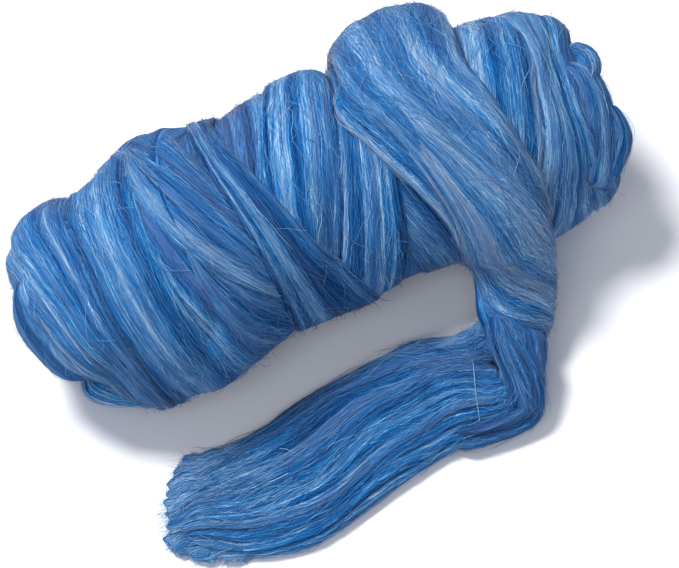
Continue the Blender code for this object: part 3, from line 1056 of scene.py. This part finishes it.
class Fuzz:
    """Loose hairs lying over combed wool and standing off it."""

    STEPS = 5
    SHORTEST = 7.0
    LONGEST = 26.0
    USUAL_YAW = 5.0
    FRIZZ_YAW = 24.0
    CURL = 0.6
    THINNEST = 0.05
    THICKEST = 0.12

    def __init__(self, name, random):
        self.name = name
        self.random = random
        self.points = []
        self.dye = []

    def over(self, points, dye, closed, density, stand, tops, frizz=0.16):
        """Hairs over the first `tops` columns of a grid whose rows follow the fibres. A share of them,
        the frizz, lie across the rest."""
        random = self.random
        normals = grid_normals(points)[:, :tops]
        points = points[:, :tops]
        dye = dye[:, :tops]
        rows, columns = points.shape[:2]
        along = np.linalg.norm(np.diff(points, axis=0), axis=-1).mean()
        across = np.linalg.norm(np.diff(points, axis=1), axis=-1).mean()
        count = int(density * rows * columns * along * across)
        each = (count, 1)
        t = np.linspace(0.0, 1.0, self.STEPS + 1)[None, :]
        length = random.uniform(self.SHORTEST, self.LONGEST, each)
        yaw = random.normal(0.0, self.USUAL_YAW, each)
        frizz_yaw = random.normal(0.0, self.FRIZZ_YAW, each)
        yaw = np.radians(yaw + frizz_yaw * (random.random(each) < frizz))
        curl = random.normal(0.0, self.CURL, each)
        row = random.uniform(0, rows - 1, each) + t * length * np.cos(yaw) / along
        sideways = t * length * np.sin(yaw) + curl * np.sin(t * 6.3)
        column = random.uniform(0, columns - 1, each) + sideways / across
        row = row % (rows - 1) if closed else np.clip(row, 0, rows - 1.01)
        column = np.clip(column, 0, columns - 1.01)
        rise = random.exponential(stand, each)
        free = random.random(each) < 0.5
        lift = 0.12 + rise * np.where(free, t**2 * 1.6, np.sin(np.pi * t))
        out = unit(between_cells(normals, row, column, False))
        centre = between_cells(points, row, column, False) + out * lift[..., None]
        centre[..., 2] = np.maximum(centre[..., 2], 0.08)
        side = unit(np.cross(np.gradient(centre, axis=1), out))
        roll = random.uniform(-0.9, 0.9, (count, 1, 1))
        side = side * np.cos(roll) + out * np.sin(roll)
        half = random.uniform(self.THINNEST, self.THICKEST, (count, 1, 1))
        half = half * (1.0 - 0.7 * np.abs(2 * t[..., None] - 1) ** 3)
        self.points.append(np.stack((centre - side * half, centre + side * half), 2))
        # Each hair takes the shade of the wool under it, lifted paler: partly the pale fibres of the blend,
        # partly a painted highlight where loose fibres catch the light.
        start = dye[row[:, 0].astype(int), column[:, 0].astype(int)].copy()
        start[:, 0] = start[:, 0] * 0.6 + random.uniform(0.08, 0.54, count)
        self.dye.append(start)

    def strands(self, centre, shade, half, taper):
        """Strands along rows of points, facing up, with a shade for each."""
        t = np.linspace(0.0, 1.0, centre.shape[1])[None, :, None]
        side = unit(np.cross(np.gradient(centre, axis=1), (0.0, 0.0, 1.0)))
        half = half[:, None, None] * (1.0 - taper * t**2)
        self.points.append(np.stack((centre - side * half, centre + side * half), 2))
        self.dye.append(np.stack(np.broadcast_arrays(shade, 0.2, 1.0), -1))

    def build(self, material):
        points = np.concatenate(self.points)
        count, steps = points.shape[0], points.shape[1]
        step = np.arange(steps - 1)[None, :, None] * 2
        quad = np.array([0, 1, 3, 2])[None, None, :] + step + np.arange(count)[:, None, None] * steps * 2
        side = int(math.ceil(math.sqrt(count)))
        cell = np.arange(count)
        corner = np.stack((cell % side, cell // side), -1)[:, None, None, :] / side
        along = (np.arange(steps - 1)[:, None] + np.array([0, 0, 1, 1])[None, :]) / (steps - 1)
        wide = np.broadcast_to(np.array([0.0, 1.0, 1.0, 0.0])[None, :], along.shape)
        inside = np.stack((0.1 + 0.8 * along, 0.1 + 0.8 * wide), -1)[None] / side
        chart = corner + inside
        dye = np.repeat(np.concatenate(self.dye), steps * 2, axis=0)
        lay = np.zeros((quad.size, 2))
        points = points.reshape(-1, 3)
        return make_mesh(self.name, points, quad.reshape(-1, 4), lay, chart.reshape(-1, 2), dye, material)


Band = namedtuple("Band", "name thickness crisp shade lavender stripes path")
BANDS = (
    Band("flap under the left edge", 2.0, 0.2, 0.30, 0.1,
         (Stripe(0.25, 0.10, 0.44, 0.1), Stripe(0.85, 0.10, 0.10, 0.0)),
         ((5.0, 0.0, 5.0, 0.15), (7.0, 0.0, 7.0, 0.3), (9.0, 0.1, 9.0, 0.3), (10.5, 0.0, 10.5, 0.2))),
    Band("folded left edge", 2.6, 1.0, 0.62, 0.3,
         (Stripe(0.55, 0.22, 0.80, 0.2),),
         ((5.0, -0.05, 5.0, 0.05), (7.0, -0.05, 7.0, 0.1), (9.0, 0.0, 9.0, 0.15), (11.0, -0.05, 11.0, 0.05))),
    Band("over the crease", 3.2, 0.9, 0.43, 0.5,
         (Stripe(0.04, 0.03, 0.60, 0.3), Stripe(0.16, 0.05, 0.26, 0.1), Stripe(0.30, 0.07, 0.66, 0.4),
          Stripe(0.46, 0.05, 0.30, 0.2), Stripe(0.62, 0.05, 0.56, 0.5), Stripe(0.80, 0.06, 0.26, 0.3),
          Stripe(0.92, 0.04, 0.70, 0.2)),
         ((-0.3, 0.0, -0.3, 1.0), (2.5, 0.0, 2.5, 0.95), (4.5, 0.05, 4.5, 0.9), (6.5, 0.2, 6.5, 0.85),
          (8.0, 0.2, 8.0, 0.95), (9.5, 0.1, 9.5, 1.0), (11.5, 0.05, 11.5, 1.0))),
    Band("sweep round the right edge", 2.2, 0.1, 0.64, 0.7,
         (Stripe(0.04, 0.03, 0.26, 0.1), Stripe(0.14, 0.03, 0.84, 0.3), Stripe(0.24, 0.05, 0.28, 0.1),
          Stripe(0.42, 0.06, 0.66, 0.7), Stripe(0.60, 0.06, 0.34, 0.3), Stripe(0.80, 0.08, 0.70, 0.5)),
         ((7.5, 0.2, 6.5, 0.4), (9.0, 0.15, 7.0, 0.5), (11.0, 0.05, 8.5, 0.7), (13.0, 0.15, 10.0, 0.9),
          (14.0, 0.5, 11.0, 1.05), (14.5, 0.9, 12.0, 1.15), (15.0, 1.25, 13.0, 1.3))),
)
# The strand's near-white streak: station along it, share across it.
PALE_STREAK = ((5.0, 0.55), (7.0, 0.72), (9.0, 0.92), (10.0, 1.0))
STREAK_WIDTH = 0.055
STREAK_PALER = 0.38
STREAK_FROM = 4.6
STREAK_RISE = 1.6
STREAK_TO = 10.6
STREAK_FALL = 1.2
TAIL_PALER = 0.14
TAIL_PALER_FROM = 24.0
TAIL_PALER_RISE = 5.0
Ribbon = namedtuple("Ribbon", "name thickness crisp shade lavender stripes path")
RIBBONS = (
    Ribbon("outside of the corner", 3.4, 0.5, 0.40, 0.5,
           (Stripe(0.3, 0.08, 0.24, 0.1), Stripe(0.6, 0.06, 0.56, 0.6), Stripe(0.85, 0.08, 0.30, 0.4)),
           ((50, -70, 35, 75, -75, 22), (52, -85, 32, 66, -92, 24), (54, -98, 25, 60, -100, 16),
            (51, -107, 12, 53, -108, 6), (30, -107, 7, 30, -109, 4), (15, -105, 5, 15, -107, 3))),
    Ribbon("back of the tail's root", 3.0, 0.6, 0.44, 0.8,
           (Stripe(0.2, 0.1, 0.60, 0.6), Stripe(0.5, 0.10, 0.30, 0.2), Stripe(0.8, 0.1, 0.52, 0.7)),
           ((50, -68, 32, 54, -83, 31), (48, -66, 20, 50, -84, 22), (35, -63, 8, 40, -80, 12),
            (10, -60, 5, 10, -72, 9), (-25, -65, 3, -25, -72, 7))),
    Ribbon("inside of the corner", 3.6, 0.8, 0.34, 0.3,
           (Stripe(0.12, 0.06, 0.52, 0.4), Stripe(0.3, 0.10, 0.16, 0.0), Stripe(0.55, 0.06, 0.46, 0.7),
            Stripe(0.8, 0.08, 0.20, 0.1)),
           ((48, -65, 33, 58, -67, 36), (45, -80, 32, 54, -84, 35), (47, -95, 20, 56, -100, 25),
            (44, -102, 12, 54, -108, 14), (30, -102, 9, 38, -108, 8), (10, -97, 6, 14, -103, 6))),
    Ribbon("fan under the sweep", 1.8, 0.2, 0.36, 0.6,
           (Stripe(0.12, 0.05, 0.54, 0.5), Stripe(0.30, 0.06, 0.24, 0.2), Stripe(0.5, 0.06, 0.50, 0.6),
            Stripe(0.72, 0.06, 0.26, 0.3), Stripe(0.88, 0.05, 0.46, 0.5)),
           ((47, -66, 34, 52, -68, 37), (46, -80, 34, 60, -80, 34), (48, -92, 30, 62, -88, 27),
            (52, -102, 20, 58, -100, 15), (54, -104, 15, 57, -103, 10))),
)
ROLL_RIBBONS = (
    Ribbon("tucked end at the left", 3.6, 0.3, 0.40, 0.2,
           (Stripe(0.2, 0.06, 0.54, 0.2), Stripe(0.4, 0.06, 0.26, 0.0), Stripe(0.75, 0.06, 0.56, 0.3),
            Stripe(0.92, 0.05, 0.20, 0.0)),
           ((-117, 10, 67, -110, 10, 74), (-124, -5, 62, -115, -5, 74), (-127, -15, 50, -113, -20, 70),
            (-120, -30, 38, -108, -35, 62), (-112, -40, 40, -103, -43, 52), (-105, -45, 44, -101, -46, 48))),
    # A pale rope along the lip of the left end's fold: its paler shade is a painted highlight where the lip
    # catches the light.
    Ribbon("folded edge over it", 1.5, 0.9, 0.54, 0.3, (Stripe(0.5, 0.2, 0.72, 0.2),),
           ((-110, 14, 70, -108, 14, 72), (-117, 0, 70, -115, 0, 72), (-116, -18, 73, -113, -18, 75),
            (-111, -35, 68, -109, -35, 69), (-106, -45, 57, -104, -45, 58), (-103, -47, 49, -101, -47, 50))),
    Ribbon("tucked fold under it", 3.2, 0.3, 0.40, 0.3,
           (Stripe(0.3, 0.08, 0.50, 0.3), Stripe(0.6, 0.06, 0.24, 0.0)),
           ((-116, -30, 35, -110, -35, 45), (-108, -42, 30, -103, -46, 43), (-94, -50, 30, -94, -52, 40),
            (-78, -54, 36, -80, -55, 40))),
    Ribbon("brim at the right", 3.6, 0.4, 0.50, 0.5,
           (Stripe(0.3, 0.05, 0.66, 0.4), Stripe(0.5, 0.05, 0.30, 0.1), Stripe(0.8, 0.05, 0.58, 0.6)),
           ((105, 2, 90, 115, 3, 85), (109, -15, 88, 123, -15, 73), (108, -30, 80, 121, -30, 65),
            (103, -43, 68, 115, -43, 55), (100, -47, 60, 109, -48, 50))),
    Ribbon("upper loop at the right", 4.0, 0.8, 0.48, 0.5,
           (Stripe(0.4, 0.1, 0.62, 0.4), Stripe(0.75, 0.08, 0.28, 0.1)),
           ((104, 3, 86, 112, 10, 80), (113, -2, 81, 126, 3, 73), (112, -12, 84, 122, -10, 77),
            (108, -16, 86, 115, -14, 82))),
    Ribbon("lower loop at the right", 4.0, 0.8, 0.46, 0.5,
           (Stripe(0.3, 0.1, 0.28, 0.1), Stripe(0.65, 0.08, 0.60, 0.4)),
           ((112, -18, 84, 118, -18, 78), (117, -31, 74, 126, -30, 60), (112, -40, 67, 118, -40, 57),
            (107, -44, 63, 111, -44, 57))),
)
Lock = namedtuple("Lock", "place wide start end thickness shade lavender phase")
LOCKS = (
    Lock(1.95, 0.16, 16.8, 28.4, 1.0, 0.39, 0.2, 0.4),
    Lock(1.08, 0.20, 16.6, 27.0, 1.0, 0.37, 0.8, 0.0),
    Lock(1.20, 0.16, 17.0, 27.8, 1.0, 0.35, 0.4, 0.1),
    Lock(1.28, 0.13, 17.2, 28.3, 1.0, 0.27, 0.1, 0.3),
    Lock(1.88, 0.14, 17.2, 28.8, 1.0, 0.45, 0.4, 0.3),
    Lock(1.36, 0.13, 17.4, 28.6, 1.0, 0.19, 0.0, 0.5),
    Lock(1.79, 0.13, 17.6, 29.0, 1.1, 0.39, 0.1, 0.5),
    Lock(1.44, 0.12, 17.6, 28.7, 1.0, 0.37, 0.8, 0.8),
    Lock(1.70, 0.13, 17.8, 29.1, 1.1, 0.41, 0.2, 0.7),
    Lock(1.53, 0.13, 17.8, 28.9, 1.0, 0.33, 0.3, 0.9),
    Lock(1.61, 0.13, 18.0, 29.2, 1.1, 0.37, 0.1, 0.8),
    Lock(1.40, 0.06, 18.6, 28.2, 0.8, 0.55, 0.5, 0.6),
    Lock(1.66, 0.06, 18.6, 29.0, 1.1, 0.51, 0.6, 1.0),
    Lock(1.24, 0.06, 18.6, 28.0, 1.1, 0.49, 0.6, 0.2),
    Lock(1.84, 0.06, 18.2, 28.6, 1.1, 0.19, 0.0, 0.5),
)
CRIMP_LENGTH = 1.9
CRIMP_WIDE = 0.016
CRIMP_RATE = 0.8
LOCK_ROWS = 15
BAND_ALONG = 84
BAND_TOP = 24
BAND_UNDER = 2
END_NARROWING = 0.6
RIBBON_BOW = 1.4
END_SUNK = 1.5
UNDERSIDE = 2.0


def band_grid():
    """Shares along a band and across it, and which of those across are on its top."""
    share, is_top = ribbon_shares(BAND_TOP, BAND_UNDER)
    return np.linspace(0.0, 1.0, BAND_ALONG)[:, None], share, is_top


def finish_band(fleece, random, band, points, seed, paler=0.0):
    """Adds a band's grid, with its fibres measured along its middle."""
    share = band_grid()[1]
    length = run_length(points[:, BAND_TOP // 2])
    return add_ribbon(fleece, random, band, points, share, BAND_TOP, length, seed, False, paler)


def lay_band(band, loose, fleece, random, seed, fade):
    """Lays a band on the loose end, along the path of its left and right edges."""
    t, share, is_top = band_grid()
    path = along_whole(band.path, BAND_ALONG)
    station = path[:, 0:1] * (1 - share) + path[:, 2:3] * share
    w = path[:, 1:2] * (1 - share) + path[:, 3:4] * share
    base = evened(loose.read(draped(loose.height), station, w), 8, False)
    ends = eased(t / fade) * eased((1 - t) / fade)
    section = wrap_section(share, band.thickness, band.crisp, 0.6 * np.sin(9 * t + seed), random)
    lift = base + np.where(is_top, (section + 0.8) * ends - 0.8, -0.9) - 0.4 * edge_dip(share)
    normals = evened(loose.read(loose.normals, station, w), 6, False)
    points = evened(loose.read(loose.points, station, w), 6, False) + normals * settled(lift)[..., None]
    keep_off_floor(points, FLOOR_GAP + FLOOR_STEP * seed)
    streak = np.interp(station, *zip(*PALE_STREAK))
    pale = STREAK_PALER * eased((station - STREAK_FROM) / STREAK_RISE)
    pale = pale * eased((STREAK_TO - station) / STREAK_FALL)
    pale = pale * np.exp(-(((w - streak) / STREAK_WIDTH) ** 2))
    pale = pale + TAIL_PALER * eased((station - TAIL_PALER_FROM) / TAIL_PALER_RISE)
    dye = finish_band(fleece, random, band, points, seed, pale)
    loose.raise_to(station[:, :BAND_TOP], w[:, :BAND_TOP], lift[:, :BAND_TOP])
    return points, dye


def lay_ribbon(ribbon, fleece, random, seed, taper, start_dive, end_dive):
    """A ribbon in the open, along rows of its two edges, with its face towards the outside. An end
    with a dive narrows and goes that far into the wool under it."""
    t, share, is_top = band_grid()
    start = eased(t / taper)
    stop = eased((1 - t) / taper)
    narrow = (1 - END_NARROWING * (1 - start)) * (1 - END_NARROWING * (1 - stop))
    placed = 0.5 + (share - 0.5) * narrow
    path = along_whole(ribbon.path, BAND_ALONG)
    left = path[:, None, 0:3]
    right = path[:, None, 3:6]
    flat = left + (right - left) * placed[..., None]
    along = np.gradient(flat, axis=0)
    face = unit(np.cross(along, np.broadcast_to(right - left, flat.shape)))
    ends = start * stop
    section = wrap_section(share, ribbon.thickness, ribbon.crisp, 0.6 * np.sin(9 * t + seed), random)
    bow = RIBBON_BOW * (1 - (2 * share - 1) ** 2)
    lift = bow + np.where(is_top, (section + END_SUNK) * ends - END_SUNK, -UNDERSIDE)
    lift = lift - start_dive * (1 - start) - end_dive * (1 - stop)
    points = flat + face * lift[..., None]
    keep_off_floor(points, FLOOR_GAP + FLOOR_STEP * seed)
    return points, finish_band(fleece, random, ribbon, points, seed)


def lock_band(lock):
    """A lock of the tail as a band that waves with the crimp of the wool."""
    rows = []
    for step in range(LOCK_ROWS):
        station = lock.start + (lock.end - lock.start) * step / (LOCK_ROWS - 1)
        turn = 2 * math.pi * station / CRIMP_LENGTH * CRIMP_RATE + lock.phase
        swing = CRIMP_WIDE * eased((station - 18.5) / 2.0) * math.sin(turn)
        swing = swing + 0.02 * math.sin(0.9 * station + 5 * lock.phase)
        narrow = 1.0 - 0.5 * eased((station - lock.end + 3.0) / 3.0)
        middle = lock.place + swing
        half = lock.wide * narrow / 2
        rows.append((station, middle - half, station, middle + half))
    return Band("lock", lock.thickness, 0.15, lock.shade, lock.lavender, (), tuple(rows))


# The tail's ragged tip, from its back to its front: where its ribbons start, pass and end on the floor.
TIP_STARTS = ((-30, -68), (-34, -116))
TIP_MIDDLES = ((-58, -71), (-64, -118))
TIP_ENDS = ((-78, -68), (-92, -76), (-99, -87), (-102, -100), (-94, -112), (-76, -120))
TAIL_THICKNESS = ((-30, 9.4), (-46, 8.8), (-62, 7.8), (-78, 5.6), (-90, 3.0), (-100, 1.2))
TIP_RIBBONS = 7
TIP_STRANDS = 290
TIP_STEPS = 14
TIP_WAVE = 0.8
TIP_WAVE_LENGTH = 1.9
THREAD = ((19.0, 1.15), (19.5, 1.4), (20.0, 1.6), (20.3, 1.8))


def tip_lines(place, t):
    """Lines on the floor from the tail's body to its tip, one for each place from back to front."""
    rows = []
    for table in (TIP_STARTS, TIP_MIDDLES, TIP_ENDS):
        if len(table) == 2:
            rows.append(np.array(table[0]) + place[:, None] * np.subtract(table[1], table[0]))
        else:
            rows.append(along_rows(table, place * (len(table) - 1)))
    start, middle, end = (row[:, None, :] for row in rows)
    t = t[..., None]
    turn = 2 * middle - (start + end) / 2
    return start * (1 - t) ** 2 + 2 * t * (1 - t) * turn + end * t**2


def tail_top(flat, place):
    """How high the tail's own surface stands over places on the floor."""
    x = [row[0] for row in TAIL_THICKNESS[::-1]]
    thick = [row[1] for row in TAIL_THICKNESS[::-1]]
    return np.interp(flat[..., 0], x, thick) * np.sqrt(np.maximum(1.0 - (2 * place - 1) ** 2, 0.02))


def tip_ribbons(fleece, hairs, random):
    """The tail's last ribbons, spread side by side to a soft blunt end and paler towards it."""
    t, share, is_top = band_grid()
    share = share[0]
    start = eased(t / 0.3)
    stop = eased((1 - t) / 0.2)
    for index in random.permutation(TIP_RIBBONS):
        spread = 0.9 / TIP_RIBBONS
        place = np.clip((index + 0.5) / TIP_RIBBONS + (2 * share - 1) * spread, 0.0, 1.0)
        first = random.uniform(0.0, 0.35)
        wave = random.uniform(0.0, 6.28)
        reach = random.uniform(0.93, 1.0) - 0.07 * (2 * share - 1) ** 4 + 0.012 * np.sin(19 * share + wave)
        along = first + (reach[None, :] - first) * t
        flat = tip_lines(place, along.T).transpose(1, 0, 2)
        flat[..., 1] += TIP_WAVE * np.sin(flat[..., 0] / TIP_WAVE_LENGTH + place[None, :] * 9.0) * along
        surface = tail_top(flat, place[None, :]) * 0.94 + 0.4
        section = wrap_section(share[None, :], 1.1, 0.1, wave, random)
        height = surface + (section + 1.0) * start - 1.0
        height = np.where(is_top, height, height - 0.2 - 1.4 * start * stop)
        points = np.concatenate((flat, np.maximum(height, 0.02 + 0.01 * index)[..., None]), -1)
        ribbon = Ribbon("tip", 1.1, 0.1, 0.40, random.uniform(0.0, 0.4), (), ())
        dye = finish_band(fleece, random, ribbon, points, 80 + index, 0.26 * eased((along - 0.2) / 0.6))
        hairs.over(points, dye, False, 0.30, 0.6, BAND_TOP, 0.4)


def tip_strands(strands, random):
    """Fine ragged strands that carry the tail out to its tip, level with the floor."""
    place = np.sort(random.uniform(0.0, 1.0, TIP_STRANDS))
    first = random.uniform(0.25, 0.8, (TIP_STRANDS, 1))
    last = 1.03 - np.abs(random.normal(0.0, 0.07, (TIP_STRANDS, 1)))
    share = np.linspace(0.0, 1.0, TIP_STEPS)[None, :]
    t = first + (last - first) * share
    drift = np.clip(place[:, None] + random.normal(0.0, 0.05, (TIP_STRANDS, 1)) * share, 0.0, 1.0)
    flat = np.stack([tip_lines(drift[:, k], t[:, k : k + 1])[:, 0] for k in range(TIP_STEPS)], 1)
    phase = random.uniform(0.0, 6.28, (TIP_STRANDS, 1))
    flat[..., 1] += TIP_WAVE * np.sin(flat[..., 0] / TIP_WAVE_LENGTH + phase * 0.6 + place[:, None] * 9.0) * t
    flat[..., 1] += random.normal(0.0, 2.2, (TIP_STRANDS, 1)) * share**3
    height = tail_top(flat, drift) + 1.5 * (1.05 - t) + random.uniform(0.2, 1.0, (TIP_STRANDS, 1))
    centre = np.concatenate((flat, np.maximum(height, 0.15)[..., None]), -1)
    shade = random.normal(0.70, 0.10, TIP_STRANDS)
    strands.strands(centre, shade, random.uniform(0.07, 0.16, TIP_STRANDS), 0.6)


def stray_thread(loose, strands):
    """The pale thread that lies across the root of the tail."""
    path = along_whole(THREAD, TIP_STEPS)
    station = path[None, :, 0]
    w = path[None, :, 1]
    lift = settled(loose.read(draped(loose.height), station, w)) + 0.7
    centre = loose.read(loose.points, station, w) + loose.read(loose.normals, station, w) * lift[..., None]
    strands.strands(centre, np.array([0.86]), np.array([0.14]), 0.3)


# ---------------------------------------------------------------------------------------- the scene

def build_scene():
    add_camera()
    add_lamps()
    groups = {"streaks": streak_group(), "dyes": dye_group()}
    wound = combed_wool("wound combed wool", groups, contrast=1.0, wander=0.5, hairs=0.6, relief=0.45)
    random = np.random.default_rng(RANDOM_SEED)
    laid = Laid()
    fleeces = {}
    inner = Fleece("inner_wool")
    core(laid, inner, random)
    items = [inner.build(wound)]
    fuzzes = {}
    for index, wrap in enumerate(WRAPS):
        fleece = fleeces.setdefault(wrap.piece, Fleece("wraps_" + wrap.piece))
        fuzz = fuzzes.setdefault(wrap.piece, Fuzz("hairs_" + wrap.piece, random))
        points, dye = lay_wrap(wrap, laid, fleece, random, index + 1)
        fuzz.over(points, dye, True, 0.13, 0.5, TOP_COUNT)
    stray = stray_wool("stray hairs", groups)
    tucks = Fleece("tucked_ends")
    for index, ribbon in enumerate(ROLL_RIBBONS):
        side, taper = ("right", 0.18) if ribbon.path[0][0] > 0 else ("left", 0.3)
        points, dye = lay_ribbon(ribbon, tucks, random, 30 + index, taper, 5.0, 4.0)
        fuzzes[side].over(points, dye, False, 0.14, 0.5, BAND_TOP)
    fleeces["tucked"] = tucks
    for fleece in fleeces.values():
        items.append(fleece.build(wound))
    for fuzz in fuzzes.values():
        items.append(fuzz.build(stray))
    for item in items:
        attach(item, BODY)
    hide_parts("wound_roll")
    combed = combed_wool("loose combed wool", groups, contrast=0.95, wander=0.5, hairs=0.7, relief=0.4)
    loose = LooseEnd(laid)
    strand = Fleece("loose_end_wool")
    main_strand(loose, strand, random)
    strand = strand.build(combed)
    bands = Fleece("loose_end_bands")
    hairs = Fuzz("hairs_loose_end", random)
    for index, band in enumerate(BANDS):
        points, dye = lay_band(band, loose, bands, random, 40 + index, 0.2)
        hairs.over(points, dye, False, 0.26, 0.45, BAND_TOP, 0.12)
    for index, ribbon in enumerate(RIBBONS):
        points, dye = lay_ribbon(ribbon, bands, random, 50 + index, 0.16, 1.0, 2.0)
        hairs.over(points, dye, False, 0.30, 0.6, BAND_TOP, 0.3)
    locks = Fleece("loose_end_locks")
    for index, lock in enumerate(LOCKS):
        points, dye = lay_band(lock_band(lock), loose, locks, random, 60 + index, 0.12)
        hairs.over(points, dye, False, 0.22, 0.6, BAND_TOP)
    tips = Fuzz("tip_strands", random)
    tip_ribbons(locks, hairs, random)
    tip_strands(tips, random)
    stray_thread(loose, tips)
    dressing = [bands.build(combed), locks.build(combed), hairs.build(stray), tips.build(stray)]
    for item in [strand] + dressing:
        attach(item, BODY)
    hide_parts("loose_end")
    add_floor()


def add_floor():
    half = FLOOR_SIZE * MM / 2
    mesh = bpy.data.meshes.new("floor")
    corners = [(-half, -half, 0), (half, -half, 0), (half, half, 0), (-half, half, 0)]
    mesh.from_pydata(corners, [], [(0, 1, 2, 3)])
    mesh.materials.append(floor_paper("pale paper"))
    floor = bpy.data.objects.new("floor", mesh)
    bpy.context.scene.collection.objects.link(floor)


build_scene()
